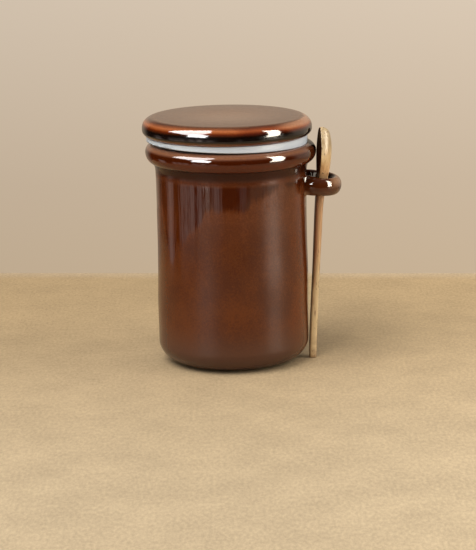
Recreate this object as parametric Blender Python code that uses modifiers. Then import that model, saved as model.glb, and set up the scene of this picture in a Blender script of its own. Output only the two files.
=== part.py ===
"""A round glazed stoneware storage jar: a straight body with a rolled collar, a thick
flat lid on a soft sealing ring, and a clay ring at one side that holds a small wooden
spoon upright. Metres, +Z up; the origin is the middle of the foot and the clay ring
points along +X."""

from math import asin, cos, pi, radians, sin

import bmesh
import bpy
from mathutils import Matrix, Vector

MM = 0.001
GAP = 0.3 * MM
TURN_STEPS = 72
CURVE_STEPS = 6
WELD = 0.001 * MM
SHARP_EDGE = radians(40)

# body: foot, rounded bottom corner, wall and neck
FOOT_RADIUS = 33.1 * MM
CORNER_HEIGHT = 14.2 * MM
CORNER_STEPS = 9
CORNER_RADIUS = 50.45 * MM
# height and radius, from the neck down
WALL = (
    (120.0 * MM, 50.2 * MM),
    (108.0 * MM, 50.05 * MM),
    (92.0 * MM, 50.05 * MM),
    (78.0 * MM, 50.12 * MM),
    (66.0 * MM, 50.35 * MM),
    (54.0 * MM, 50.5 * MM),
    (35.0 * MM, 50.5 * MM),
)
NECK_RADIUS = 50.35 * MM
NECK_CURVE_HEIGHT = 6.8 * MM
NECK_CURVE_REACH = 1.5 * MM
NECK_STEPS = 4

# rolled collar
COLLAR_RADIUS = 56.8 * MM
COLLAR_MIDDLE = 142.0 * MM
COLLAR_OVERHANG = 5.7 * MM
COLLAR_UP = 5.6 * MM
COLLAR_DOWN = 7.1 * MM
COLLAR_TUCK = -84
COLLAR_TILT = -0.012
COLLAR_SETTLES = (95 * MM, 134 * MM)
RIM_INSIDE = 43.4 * MM

# how far the body bows along X: between two heights it moves by this much
BODY_BOWS = (
    (0.0, 12 * MM, -0.25 * MM),
    (38 * MM, 64 * MM, 0.55 * MM),
    (95 * MM, 134 * MM, 0.3 * MM),
)

# lid
LID_RADIUS = 56.4 * MM
LID_UNDERSIDE = 151.9 * MM
LID_LOWER_CURVE = (8.0 * MM, 4.9 * MM)
LID_RIM_FLAT = 1.4 * MM
LID_UPPER_CURVE = (7.8 * MM, 7.05 * MM)
LID_CROWN_RADIUS = 32.0 * MM
LID_CROWN_RISE = 0.25 * MM
LID_DISH_DEPTH = 0.35 * MM
LID_PLUG_RADIUS = 43.5 * MM
LID_SHIFT = -1.5 * MM
LID_TILT = -0.0096

# soft ring between the collar and the lid
SEAL_RADIUS = 53.5 * MM
SEAL_BORE = 44.6 * MM
SEAL_LOWER_EDGE = 149.15 * MM
SEAL_CLEARANCE = 0.5 * MM
SEAL_EDGE_ROUND = 0.4 * MM
SEAL_TOP_ROUND = (1.2 * MM, 0.5 * MM)
SEAL_SLOPE = 0.5 * MM
SEAL_LOWER_ZONE = 0.8 * MM
SEAL_SETTLES = (LID_RADIUS - LID_LOWER_CURVE[0] - 1.0 * MM, SEAL_RADIUS - 0.5 * MM)
SEAL_SHIFT = -1.7 * MM
SEAL_TILT = -0.034

# clay ring for the spoon, an oval in plan that meets the wall
RING_REACH = 70.2 * MM
RING_HALF_WIDTH = 14.6 * MM
RING_WIDEST = 59.0 * MM
RING_INWARD = 12.5 * MM
RING_AT_WALL = 51.3 * MM
RING_ROOT = 45.5 * MM
RING_TUBE_RADIUS = 3.95 * MM
RING_TUBE_HEIGHT = 11.7 * MM
RING_HEIGHT = 119.7 * MM
RING_DROOP = radians(6.0)
RING_WALL_SWELL = 1.12
RING_ROOT_SWELL = 1.3
RING_SWELL_FROM = -0.1
RING_BENDS = 24
RING_ROUNDNESS = 2

# spoon
SPOON_LENGTH = 156.4 * MM
SPOON_TURN = radians(6.6)
SPOON_FOOT_Y = -5.2 * MM
SPOON_TOP_Y = -3.8 * MM
SPOON_RINGS = 36
SPOON_SIDES = 22
SPOON_RIM = 1.7 * MM
SPOON_STEM_SQUARENESS = 4.0
SPOON_BOWL_SQUARENESS = 2.2
SPOON_STEM_TO_BOWL = (108 * MM, 132 * MM)
SPOON_EVEN_SPACING = 0.55
# height, distance of the face from the jar's axis, depth, width, face edge round, hollow
SPOON_SECTIONS = (
    (0.0, 50.3, 4.5, 6.4, 1.8, 0.0),
    (7.0, 50.5, 4.7, 6.8, 1.9, 0.0),
    (20.0, 51.1, 4.8, 7.0, 1.8, 0.0),
    (41.0, 52.4, 4.6, 8.0, 1.5, 0.0),
    (62.0, 53.8, 4.4, 9.0, 1.2, 0.0),
    (85.0, 55.0, 4.8, 9.2, 1.1, 0.0),
    (104.0, 56.1, 5.0, 9.4, 1.1, 0.0),
    (114.0, 56.9, 5.8, 9.2, 1.0, 0.0),
    (122.0, 57.5, 7.1, 9.6, 0.9, 0.1),
    (129.0, 57.9, 8.2, 16.0, 0.8, 2.6),
    (137.0, 58.3, 8.8, 21.2, 0.8, 5.4),
    (144.0, 58.7, 8.8, 20.4, 0.8, 5.8),
    (150.5, 59.0, 7.9, 14.6, 0.8, 4.2),
    (154.6, 59.3, 6.2, 8.4, 0.8, 1.2),
    (156.4, 59.7, 3.4, 4.0, 0.8, 0.0),
)


def material(name, colour, roughness):
    made = bpy.data.materials.new(name)
    made.use_nodes = True
    shader = made.node_tree.nodes["Principled BSDF"]
    shader.inputs["Base Color"].default_value = (*colour, 1.0)
    shader.inputs["Roughness"].default_value = roughness
    shader.inputs["Metallic"].default_value = 0.0
    return made


def curve_points(centre, half_width, half_height, start, end, count):
    """Points (r, z) on part of an ellipse, angles in degrees."""
    points = []
    for step in range(count + 1):
        angle = radians(start + (end - start) * step / count)
        points.append((centre[0] + half_width * cos(angle), centre[1] + half_height * sin(angle)))
    return points


def turned(name, profile, closed=False):
    """A profile of (r, z) points, listed down its outer side, turned about Z."""
    mesh = bpy.data.meshes.new(name)
    count = len(profile)
    edges = [(i, i + 1) for i in range(count - 1)]
    if closed:
        edges.append((count - 1, 0))
    mesh.from_pydata([(r, 0.0, z) for r, z in profile], edges, [])
    obj = bpy.data.objects.new(name, mesh)
    bpy.context.scene.collection.objects.link(obj)
    screw = obj.modifiers.new("turn", "SCREW")
    screw.steps = TURN_STEPS
    screw.render_steps = TURN_STEPS
    screw.use_merge_vertices = True
    screw.merge_threshold = 10 * WELD
    screw.use_normal_calculate = False
    return obj


def frozen(obj, name):
    """The object with its modifiers made into a plain mesh, caps welded."""
    bpy.context.view_layer.update()
    graph = bpy.context.evaluated_depsgraph_get()
    mesh = bpy.data.meshes.new_from_object(obj.evaluated_get(graph))
    work = bmesh.new()
    work.from_mesh(mesh)
    bmesh.ops.remove_doubles(work, verts=work.verts, dist=WELD)
    bmesh.ops.recalc_face_normals(work, faces=work.faces)
    work.to_mesh(mesh)
    work.free()
    solid = bpy.data.objects.new(name, mesh)
    solid.matrix_world = obj.matrix_world
    bpy.data.objects.remove(obj)
    return solid


def eased(value, low, high):
    share = min(max((value - low) / (high - low), 0.0), 1.0)
    return share * share * (3.0 - 2.0 * share)


def finish(obj, collection, surface):
    collection.objects.link(obj)
    obj.data.materials.clear()
    obj.data.materials.append(surface)
    obj.data.shade_smooth()
    obj.data.set_sharp_from_angle(angle=SHARP_EDGE)


def jar_profile():
    top = COLLAR_MIDDLE + COLLAR_UP
    shoulder = (COLLAR_RADIUS - COLLAR_OVERHANG, COLLAR_MIDDLE)
    points = [(0.0, top), (RIM_INSIDE, top)]
    points += curve_points(shoulder, COLLAR_OVERHANG, COLLAR_UP, 90, 0, CURVE_STEPS)
    points += curve_points(shoulder, COLLAR_OVERHANG, COLLAR_DOWN, 0, COLLAR_TUCK, CURVE_STEPS)[1:]
    neck_top = COLLAR_MIDDLE - COLLAR_DOWN
    for step in range(1, NECK_STEPS + 1):
        share = step / NECK_STEPS
        reach = NECK_CURVE_REACH * (1 - share) ** 2
        points.append((NECK_RADIUS + reach, neck_top - NECK_CURVE_HEIGHT * share))
    points += [(radius, height) for height, radius in WALL]
    corner = (FOOT_RADIUS, CORNER_HEIGHT)
    corner_reach = CORNER_RADIUS - FOOT_RADIUS
    points += curve_points(corner, corner_reach, CORNER_HEIGHT, 0, -90, CORNER_STEPS)
    points.append((0.0, 0.0))
    return points


def settled(obj):
    """The hand-thrown jar bows a little, and its collar sits out of level."""
    for vertex in obj.data.vertices:
        height = vertex.co.z
        vertex.co.z += COLLAR_TILT * vertex.co.x * eased(height, *COLLAR_SETTLES)
        for low, high, along in BODY_BOWS:
            vertex.co.x += along * eased(height, low, high)


def ring_path():
    """Centre line points (x, y, swell) from the root on one side round to the other."""
    to_wall = asin((RING_WIDEST - RING_AT_WALL) / RING_INWARD)
    bend = []
    for step in range(RING_BENDS + 1):
        angle = (pi / 2 + to_wall) * (2 * step / RING_BENDS - 1)
        along = cos(angle)
        reach = RING_REACH - RING_WIDEST if along > 0 else RING_INWARD
        swell = 1.0 + (RING_WALL_SWELL - 1.0) * eased(-along, RING_SWELL_FROM, sin(to_wall))
        bend.append((RING_WIDEST + reach * along, RING_HALF_WIDTH * sin(angle), swell))
    start = (RING_ROOT, bend[0][1], RING_ROOT_SWELL)
    end = (RING_ROOT, bend[-1][1], RING_ROOT_SWELL)
    return [start, *bend, end]


def ring_tube():
    """The clay ring: a round tube bent along its path, then made taller."""
    path = ring_path()
    curve = bpy.data.curves.new("ring_path", "CURVE")
    curve.dimensions = "3D"
    curve.bevel_depth = RING_TUBE_RADIUS
    curve.bevel_resolution = RING_ROUNDNESS
    curve.use_fill_caps = True
    spline = curve.splines.new("POLY")
    spline.points.add(len(path) - 1)
    for point, (x, y, swell) in zip(spline.points, path):
        point.co = (x - RING_ROOT, y, 0.0, 1.0)
        point.radius = swell
    guide = bpy.data.objects.new("ring_path", curve)
    bpy.context.scene.collection.objects.link(guide)
    tube = frozen(guide, "ring_tube")
    taller = Matrix.Scale(RING_TUBE_HEIGHT / 2 / RING_TUBE_RADIUS, 4, Vector((0, 0, 1)))
    droop = Matrix.Rotation(RING_DROOP, 4, "Y")
    tube.data.transform(Matrix.Translation((RING_ROOT, 0, RING_HEIGHT)) @ droop @ taller)
    return tube


def make_jar(collection, cutters, surface):
    jar = frozen(turned("jar_turned", jar_profile()), "jar")
    settled(jar)
    tube = ring_tube()
    cutters.objects.link(tube)
    tube.hide_render = True
    tube.display_type = "WIRE"
    finish(jar, collection, surface)
    joined = jar.modifiers.new("clay_ring", "BOOLEAN")
    joined.operation = "UNION"
    joined.solver = "EXACT"
    joined.object = tube


def make_lid(collection, surface):
    """Bullnose disc, barely crowned and dished on top, with a short plug under it."""
    low_width, low_height = LID_LOWER_CURVE
    up_width, up_height = LID_UPPER_CURVE
    low_middle = LID_UNDERSIDE + low_height
    up_middle = low_middle + LID_RIM_FLAT
    edge = up_middle + up_height
    crown = edge + LID_CROWN_RISE
    plug_bottom = COLLAR_MIDDLE + COLLAR_UP + 3 * GAP
    points = [
        (0.0, crown - LID_DISH_DEPTH),
        (LID_CROWN_RADIUS / 2, crown - LID_DISH_DEPTH / 2),
        (LID_CROWN_RADIUS, crown),
        ((LID_CROWN_RADIUS + LID_RADIUS - up_width) / 2, edge + LID_CROWN_RISE * 3 / 4),
    ]
    upper = (LID_RADIUS - up_width, up_middle)
    lower = (LID_RADIUS - low_width, low_middle)
    points += curve_points(upper, up_width, up_height, 90, 0, CURVE_STEPS + 2)
    points += curve_points(lower, low_width, low_height, 0, -90, CURVE_STEPS)
    points += [
        (LID_PLUG_RADIUS, LID_UNDERSIDE),
        (LID_PLUG_RADIUS, plug_bottom),
        (0.0, plug_bottom),
    ]
    lid = frozen(turned("lid_turned", points), "lid")
    for vertex in lid.data.vertices:
        if vertex.co.z > plug_bottom + GAP:
            vertex.co.z += LID_TILT * vertex.co.x
        vertex.co.x += LID_SHIFT
    finish(lid, collection, surface)


def under_the_lid(radius):
    """Height of the lid's underside at this radius, less the seal's clearance."""
    width, height = LID_LOWER_CURVE
    outside = min(max(radius - (LID_RADIUS - width), 0.0) / width, 1.0)
    return LID_UNDERSIDE + height * (1.0 - (1.0 - outside**2) ** 0.5) - SEAL_CLEARANCE


def make_seal(collection, surface):
    """The ring's top follows the lid; its outer edge hangs lower on the spoon's side."""
    lower_inner = COLLAR_MIDDLE + COLLAR_UP + 2 * GAP
    flat_radius = LID_RADIUS - LID_LOWER_CURVE[0]
    round_in, round_down = SEAL_TOP_ROUND
    profile = [
        (SEAL_BORE, under_the_lid(SEAL_BORE)),
        (flat_radius, under_the_lid(flat_radius)),
        (SEAL_RADIUS - round_in, under_the_lid(SEAL_RADIUS - round_in)),
        (SEAL_RADIUS, under_the_lid(SEAL_RADIUS - round_in / 2) - round_down),
        (SEAL_RADIUS, SEAL_LOWER_EDGE + SEAL_EDGE_ROUND),
        (SEAL_RADIUS - SEAL_EDGE_ROUND, SEAL_LOWER_EDGE),
        (flat_radius, lower_inner + SEAL_SLOPE),
        (SEAL_BORE, lower_inner),
    ]
    seal = frozen(turned("seal_turned", profile, closed=True), "seal")
    for vertex in seal.data.vertices:
        lower = vertex.co.z < SEAL_LOWER_EDGE + SEAL_LOWER_ZONE
        share = eased(vertex.co.xy.length, *SEAL_SETTLES) if lower else 0.0
        tilt = LID_TILT + (SEAL_TILT - LID_TILT) * share
        vertex.co.z += tilt * vertex.co.x
        vertex.co.x += SEAL_SHIFT
    finish(seal, collection, surface)


def spoon_section(height):
    """The named sections joined by a smooth curve through them."""
    rows = SPOON_SECTIONS
    last = len(rows) - 1
    index = 0
    while index < last - 1 and rows[index + 1][0] * MM <= height:
        index += 1
    before, low, high, after = (rows[min(max(index + i, 0), last)] for i in (-1, 0, 1, 2))
    span = high[0] - low[0]
    t = (height / MM - low[0]) / span
    values = []
    for a, b, c, d in zip(before[1:], low[1:], high[1:], after[1:]):
        slope_low = (c - a) / (high[0] - before[0]) * span
        slope_high = (d - b) / (after[0] - low[0]) * span
        value = (2 * t**3 - 3 * t**2 + 1) * b + (t**3 - 2 * t**2 + t) * slope_low
        value += (3 * t**2 - 2 * t**3) * c + (t**3 - t**2) * slope_high
        values.append(max(value, 0.0) * MM)
    return values


def spoon_ring(height):
    """One closed loop of points round the spoon at this height."""
    face, depth, width, edge, hollow = spoon_section(height)
    bowl = eased(height, *SPOON_STEM_TO_BOWL)
    squareness = SPOON_STEM_SQUARENESS + (SPOON_BOWL_SQUARENESS - SPOON_STEM_SQUARENESS) * bowl
    middle_y = SPOON_FOOT_Y + (SPOON_TOP_Y - SPOON_FOOT_Y) * height / SPOON_LENGTH
    facing = Vector((-cos(SPOON_TURN), -sin(SPOON_TURN), 0.0))
    sideways = Vector((sin(SPOON_TURN), -cos(SPOON_TURN), 0.0))
    inside = max(width / 2 - SPOON_RIM, MM)
    ring = []
    for step in range(SPOON_SIDES):
        angle = 2 * pi * step / SPOON_SIDES
        across = abs(cos(angle)) ** (2 / squareness) * (1 if cos(angle) > 0 else -1)
        rise = abs(sin(angle)) ** (2 / squareness)
        inner = max(0.0, 1.0 - (across * width / 2 / inside) ** 2)
        if sin(angle) > 0:
            back = edge + (depth - edge) * rise
        else:
            back = edge - edge * rise + hollow * inner
        middle = Vector((face, middle_y, height))
        ring.append(middle + sideways * (across * width / 2) - facing * back)
    return ring


def make_spoon(collection, surface):
    """Lofted by hand, because a flat stem runs into a hollow bowl."""
    work = bmesh.new()
    rings = []
    for step in range(SPOON_RINGS + 1):
        share = step / SPOON_RINGS
        closer = 1.0 - (1.0 - share) ** 2
        height = SPOON_LENGTH * (SPOON_EVEN_SPACING * share + (1.0 - SPOON_EVEN_SPACING) * closer)
        rings.append([work.verts.new(point) for point in spoon_ring(height)])
    for lower, upper in zip(rings, rings[1:]):
        for i in range(SPOON_SIDES):
            j = (i + 1) % SPOON_SIDES
            work.faces.new((lower[i], lower[j], upper[j], upper[i]))
    for ring in (rings[0], rings[-1]):
        work.faces.new(ring)
    bmesh.ops.triangulate(work, faces=work.faces)
    bmesh.ops.recalc_face_normals(work, faces=work.faces)
    mesh = bpy.data.meshes.new("spoon")
    work.to_mesh(mesh)
    work.free()
    finish(bpy.data.objects.new("spoon", mesh), collection, surface)


def main():
    for obj in list(bpy.data.objects):
        bpy.data.objects.remove(obj)
    parts = bpy.data.collections.new("storage_jar")
    cutters = bpy.data.collections.new("cutters")
    bpy.context.scene.collection.children.link(parts)
    bpy.context.scene.collection.children.link(cutters)

    glaze = material("brown_glaze", (0.105, 0.035, 0.014), 0.12)
    lid_glaze = material("lid_glaze", (0.12, 0.04, 0.015), 0.12)
    soft_white = material("soft_white", (0.56, 0.60, 0.62), 0.45)
    wood = material("pale_wood", (0.46, 0.31, 0.16), 0.4)

    make_jar(parts, cutters, glaze)
    make_lid(parts, lid_glaze)
    make_seal(parts, soft_white)
    make_spoon(parts, wood)


main()
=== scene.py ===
from math import asin, cos, pi, radians, sin, sqrt

import bmesh
import bpy
from mathutils import Matrix, Vector


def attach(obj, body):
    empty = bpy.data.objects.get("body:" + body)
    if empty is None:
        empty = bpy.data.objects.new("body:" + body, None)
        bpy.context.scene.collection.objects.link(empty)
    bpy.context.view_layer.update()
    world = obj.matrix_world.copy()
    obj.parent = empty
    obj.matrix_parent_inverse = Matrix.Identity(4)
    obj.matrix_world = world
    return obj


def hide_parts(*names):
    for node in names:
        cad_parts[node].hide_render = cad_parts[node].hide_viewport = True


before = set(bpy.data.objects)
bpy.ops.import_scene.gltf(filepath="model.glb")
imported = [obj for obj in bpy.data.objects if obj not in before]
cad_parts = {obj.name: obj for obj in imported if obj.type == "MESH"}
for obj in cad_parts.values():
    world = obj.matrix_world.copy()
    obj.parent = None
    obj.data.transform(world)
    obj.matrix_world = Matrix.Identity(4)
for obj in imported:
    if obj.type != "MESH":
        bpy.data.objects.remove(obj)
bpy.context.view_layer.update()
mm = 0.001
print("frame loaded:", ", ".join(sorted(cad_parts)))


# small helpers
def startPiece(name, location=(0, 0, 0)):
    bpy.ops.object.select_all(action="DESELECT")
    bpy.ops.mesh.primitive_plane_add(size=mm, location=location)
    piece = bpy.context.object
    piece.name = piece.data.name = name
    return piece


def eased(value, low, high):
    share = min(max((value - low) / (high - low), 0.0), 1.0)
    return share * share * (3.0 - 2.0 * share)


def arc(centre, wide, high, start, end, count):
    # points (r, z) along part of an ellipse, angles in degrees
    points = []
    for step in range(count + 1):
        turn = radians(start + (end - start) * step / count)
        points.append((centre[0] + wide * cos(turn), centre[1] + high * sin(turn)))
    return points


def spread(start, end, count):
    # points between two profile points, the first left out
    return [
        (start[0] + (end[0] - start[0]) * k / count, start[1] + (end[1] - start[1]) * k / count)
        for k in range(1, count + 1)
    ]


def smoothRow(rows, at):
    # the values of rows (place, value, ...) at a place, joined by one smooth curve
    last = len(rows) - 1
    index = 0
    while index < last - 1 and rows[index + 1][0] <= at:
        index += 1
    before, low, high, after = (rows[min(max(index + i, 0), last)] for i in (-1, 0, 1, 2))
    span = high[0] - low[0]
    t = (at - low[0]) / span
    values = []
    for a, b, c, d in zip(before[1:], low[1:], high[1:], after[1:]):
        slopeLow = (c - a) / (high[0] - before[0]) * span
        slopeHigh = (d - b) / (after[0] - low[0]) * span
        value = (2 * t**3 - 3 * t**2 + 1) * b + (t**3 - 2 * t**2 + t) * slopeLow
        value += (3 * t**2 - 2 * t**3) * c + (t**3 - t**2) * slopeHigh
        values.append(max(value, 0.0))
    return values


def cleanPiece(piece, sharp=50):
    # back to object mode with its place in its mesh, smooth but for real edges
    if bpy.context.mode != "OBJECT":
        bpy.ops.object.mode_set(mode="OBJECT")
    bpy.ops.object.select_all(action="DESELECT")
    piece.select_set(True)
    bpy.context.view_layer.objects.active = piece
    bpy.ops.object.transform_apply(location=True, rotation=True, scale=True)
    bpy.ops.object.shade_smooth_by_angle(angle=radians(sharp))
    return piece


def turnProfile(name, profile, steps, closed=False):
    # a point drawn along the profile, outer side downwards, then spun once round Z
    piece = startPiece(name, (profile[0][0], 0, profile[0][1]))
    bpy.ops.object.mode_set(mode="EDIT")
    bpy.ops.mesh.select_mode(type="VERT")
    bpy.ops.mesh.select_all(action="SELECT")
    bpy.ops.mesh.merge(type="CENTER")
    route = profile + profile[:1] if closed else profile
    for (r0, z0), (r1, z1) in zip(route, route[1:]):
        bpy.ops.mesh.extrude_vertices_move(TRANSFORM_OT_translate={"value": (r1 - r0, 0, z1 - z0)})
    bpy.ops.mesh.select_all(action="SELECT")
    bpy.ops.mesh.remove_doubles(threshold=1e-6)
    bpy.ops.mesh.select_all(action="SELECT")
    bpy.ops.mesh.spin(steps=steps, angle=2 * pi, center=(0, 0, 0), axis=(0, 0, 1))
    bpy.ops.mesh.select_all(action="SELECT")
    bpy.ops.mesh.remove_doubles(threshold=2e-6)
    bpy.ops.mesh.normals_make_consistent(inside=False)
    return cleanPiece(piece)


def loftRings(name, rings):
    # a round face at the first ring, extruded from ring to ring
    bpy.ops.object.select_all(action="DESELECT")
    bpy.ops.mesh.primitive_circle_add(vertices=len(rings[0]), radius=3 * mm, fill_type="NGON")
    piece = bpy.context.object
    piece.name = piece.data.name = name
    bpy.ops.object.mode_set(mode="EDIT")
    work = bmesh.from_edit_mesh(piece.data)
    around = work.verts.layers.int.new("around")
    for index, vertex in enumerate(work.verts):
        vertex[around] = index
        vertex.co = rings[0][index]
    for ring in rings[1:]:
        bpy.ops.mesh.extrude_region_move()
        work = bmesh.from_edit_mesh(piece.data)
        around = work.verts.layers.int["around"]
        for vertex in work.verts:
            if vertex.select:
                vertex.co = ring[vertex[around]]
    bpy.ops.mesh.select_all(action="SELECT")
    bpy.ops.mesh.normals_make_consistent(inside=False)
    bpy.ops.object.mode_set(mode="OBJECT")
    piece.data.attributes.remove(piece.data.attributes["around"])
    return cleanPiece(piece)


def smoothed(piece, levels):
    bpy.context.view_layer.objects.active = piece
    soft = piece.modifiers.new("soft", "SUBSURF")
    soft.levels = soft.render_levels = levels
    bpy.ops.object.modifier_apply(modifier=soft.name)
    return piece


# node helpers
class Nodes:
    # one material's node tree, with short calls for the nodes used here
    def __init__(self, name):
        self.material = bpy.data.materials.new(name)
        self.material.use_nodes = True
        self.tree = self.material.node_tree
        self.shader = self.tree.nodes["Principled BSDF"]
        self.place = self.add("ShaderNodeTexCoord").outputs["Object"]

    def add(self, kind, inputs=None, **settings):
        made = self.tree.nodes.new(kind)
        for key, value in settings.items():
            setattr(made, key, value)
        for key, value in (inputs or {}).items():
            self.put(made.inputs[key], value)
        return made

    def put(self, socket, value):
        if isinstance(value, bpy.types.NodeSocket):
            self.tree.links.new(value, socket)
        elif isinstance(value, tuple) and len(value) == 3 and socket.type == "RGBA":
            socket.default_value = (*value, 1.0)
        else:
            socket.default_value = value

    def reckon(self, operation, a, b):
        return self.add("ShaderNodeMath", {0: a, 1: b}, operation=operation).outputs[0]

    def product(self, first, *others):
        made = first
        for other in others:
            made = self.reckon("MULTIPLY", made, other)
        return made

    def length(self, vector):
        return self.add("ShaderNodeVectorMath", {0: vector}, operation="LENGTH").outputs["Value"]

    def axes(self):
        made = self.add("ShaderNodeSeparateXYZ", {0: self.place})
        return made.outputs[0], made.outputs[1], made.outputs[2]

    def scaled(self, scale, rotation=(0, 0, 0), location=(0, 0, 0)):
        put = {"Vector": self.place, "Scale": scale, "Rotation": rotation, "Location": location}
        return self.add("ShaderNodeMapping", put).outputs[0]

    def noise(self, vector, scale, detail=2.0, roughness=0.5, distortion=0.0):
        put = {"Vector": vector, "Scale": scale, "Detail": detail}
        put.update({"Roughness": roughness, "Distortion": distortion})
        return self.add("ShaderNodeTexNoise", put).outputs["Fac"]

    def fade(self, value, low, high, start=0.0, end=1.0, smooth=True):
        put = {"Value": value, "From Min": low, "From Max": high, "To Min": start, "To Max": end}
        kind = "SMOOTHSTEP" if smooth else "LINEAR"
        return self.add("ShaderNodeMapRange", put, interpolation_type=kind).outputs["Result"]

    def between(self, value, places):
        # 1 between the two middle places, 0 outside the first and the last
        start, full, last, end = places
        return self.product(self.fade(value, start, full), self.fade(value, end, last))

    def blend(self, share, a, b, kind="MIX"):
        made = self.add("ShaderNodeMix", data_type="RGBA", blend_type=kind)
        self.put(made.inputs[0], share)
        self.put(made.inputs[6], a)
        self.put(made.inputs[7], b)
        return made.outputs[2]

    def tinted(self, share, colour, tint):
        return self.blend(share, colour, self.blend(1.0, colour, tint, "MULTIPLY"))

    def grey(self, value):
        return self.add("ShaderNodeCombineColor", {0: value, 1: value, 2: value}).outputs[0]

    def steps(self, value, stops, kind="EASE"):
        made = self.add("ShaderNodeValToRGB", {"Fac": value})
        ramp = made.color_ramp
        ramp.interpolation = kind
        while len(ramp.elements) < len(stops):
            ramp.elements.new(0.5)
        for element, (place, colour) in zip(ramp.elements, stops):
            element.position = place
            element.color = (*colour, 1.0)
        return made.outputs["Color"]

    def bump(self, height, strength, distance, below=None):
        put = {"Height": height, "Strength": strength, "Distance": distance}
        if below is not None:
            put["Normal"] = below
        return self.add("ShaderNodeBump", put).outputs["Normal"]

    def finish(self, colour, roughness, normal=None, **constants):
        self.put(self.shader.inputs["Base Color"], colour)
        self.put(self.shader.inputs["Roughness"], roughness)
        if normal is not None:
            self.put(self.shader.inputs["Normal"], normal)
        for key, value in constants.items():
            self.shader.inputs[key.replace("_", " ")].default_value = value
        return self.material


def dress(piece, material, slot, *nodes):
    piece.data.materials.clear()
    piece.data.materials.append(material)
    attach(piece, "root")
    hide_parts(*nodes)
    print(piece.name, len(piece.data.polygons), "faces")


# jar body
jarSet = {
    "steps": 200,
    "footRadius": 33.1 * mm,
    "cornerHeight": 14.2 * mm,
    # height and radius in mm, from the bottom corner up to the neck
    "wall": [
        (14.2, 50.45),
        (35.0, 50.50),
        (54.0, 50.50),
        (66.0, 50.35),
        (78.0, 50.12),
        (92.0, 50.05),
        (108.0, 50.05),
        (120.0, 50.20),
        (128.1, 50.35),
    ],
    "neckHeight": 6.8 * mm,
    "neckReach": 1.5 * mm,
    "collarRadius": 56.8 * mm,
    "collarMiddle": 142.0 * mm,
    "collarOverhang": 5.7 * mm,
    "collarUp": 5.6 * mm,
    "collarDown": 7.1 * mm,
    "collarTilt": -0.012,
    "tiltFrom": 95 * mm,
    "tiltTo": 134 * mm,
    # from one height to another the body bows this far along X
    "bows": [(0.0, 12 * mm, -0.25 * mm), (38 * mm, 64 * mm, 0.55 * mm), (95 * mm, 134 * mm, 0.3 * mm)],
    # inside the foot: how far beyond the recess's radius, and height, both in mm
    "baseRing": 26.5 * mm,
    "base": [(3.0, 0.0), (0.8, 0.0), (0.0, 0.25), (-1.2, 1.1), (-4.0, 1.2)],
    "baseMiddle": 1.3 * mm,
    "baseFlat": 0.4,
    # how finely each stretch of the profile is divided
    "topSteps": 6,
    "upperSteps": 18,
    "lowerSteps": 20,
    "neckSteps": 8,
    "wallSteps": 48,
    "cornerSteps": 22,
    "underTurn": -84,
}


def jarProfile(s):
    top = s["collarMiddle"] + s["collarUp"]
    shoulder = (s["collarRadius"] - s["collarOverhang"], s["collarMiddle"])
    neckTop = s["collarMiddle"] - s["collarDown"]
    points = [(0.0, top)] + spread((0.0, top), (shoulder[0], top), s["topSteps"])
    over = s["collarOverhang"]
    points += arc(shoulder, over, s["collarUp"], 90, 0, s["upperSteps"])[1:]
    points += arc(shoulder, over, s["collarDown"], 0, s["underTurn"], s["lowerSteps"])[1:]
    for step in range(1, s["neckSteps"] + 1):
        share = step / s["neckSteps"]
        reach = s["wall"][-1][1] * mm + s["neckReach"] * (1 - share) ** 2
        points.append((reach, neckTop - s["neckHeight"] * share))
    neckFoot = points[-1][1]
    for step in range(1, s["wallSteps"] + 1):
        height = neckFoot + (s["cornerHeight"] - neckFoot) * step / s["wallSteps"]
        points.append((smoothRow(s["wall"], height / mm)[0] * mm, height))
    corner = (s["footRadius"], s["cornerHeight"])
    rounding = points[-1][0] - s["footRadius"]
    points += arc(corner, rounding, s["cornerHeight"], 0, -90, s["cornerSteps"])[1:]
    points += [(s["baseRing"] + beyond * mm, height * mm) for beyond, height in s["base"]]
    return points + [(s["baseRing"] * s["baseFlat"], s["baseMiddle"]), (0.0, s["baseMiddle"])]


def settleJar(piece, s):
    # thrown by hand: the body bows a little and the collar sits out of level
    for vertex in piece.data.vertices:
        height = vertex.co.z
        vertex.co.z += s["collarTilt"] * vertex.co.x * eased(height, s["tiltFrom"], s["tiltTo"])
        vertex.co.x += sum(along * eased(height, low, high) for low, high, along in s["bows"])


jarBody = turnProfile("glazedBody", jarProfile(jarSet), jarSet["steps"])
settleJar(jarBody, jarSet)


# clay ring
ringSet = {
    "reach": 70.1 * mm,
    "halfWidth": 14.6 * mm,
    "tubeWide": 3.95 * mm,
    "tubeHigh": 5.85 * mm,
    "height": 119.7 * mm,
    "root": 45.5 * mm,
    "widest": 59.0 * mm,
    "inward": 12.5 * mm,
    "atWall": 51.3 * mm,
    "droop": radians(6.0),
    "wallSwell": 1.12,
    "sides": 40,
    "bends": 56,
    # the clay pressed on to the wall: wall radius and offset there, depth, and how far it spreads
    "wall": 50.2 * mm,
    "wallOffset": 0.42 * mm,
    "padDepth": 2.1 * mm,
    "padOuter": 3.4 * mm,
    "padInner": 1.4 * mm,
    "padHigh": 1.2 * mm,
    "padSteps": 10,
    "padBlend": 4,
    "padSink": 0.8 * mm,
    "swellFrom": -0.1,
}


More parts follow.
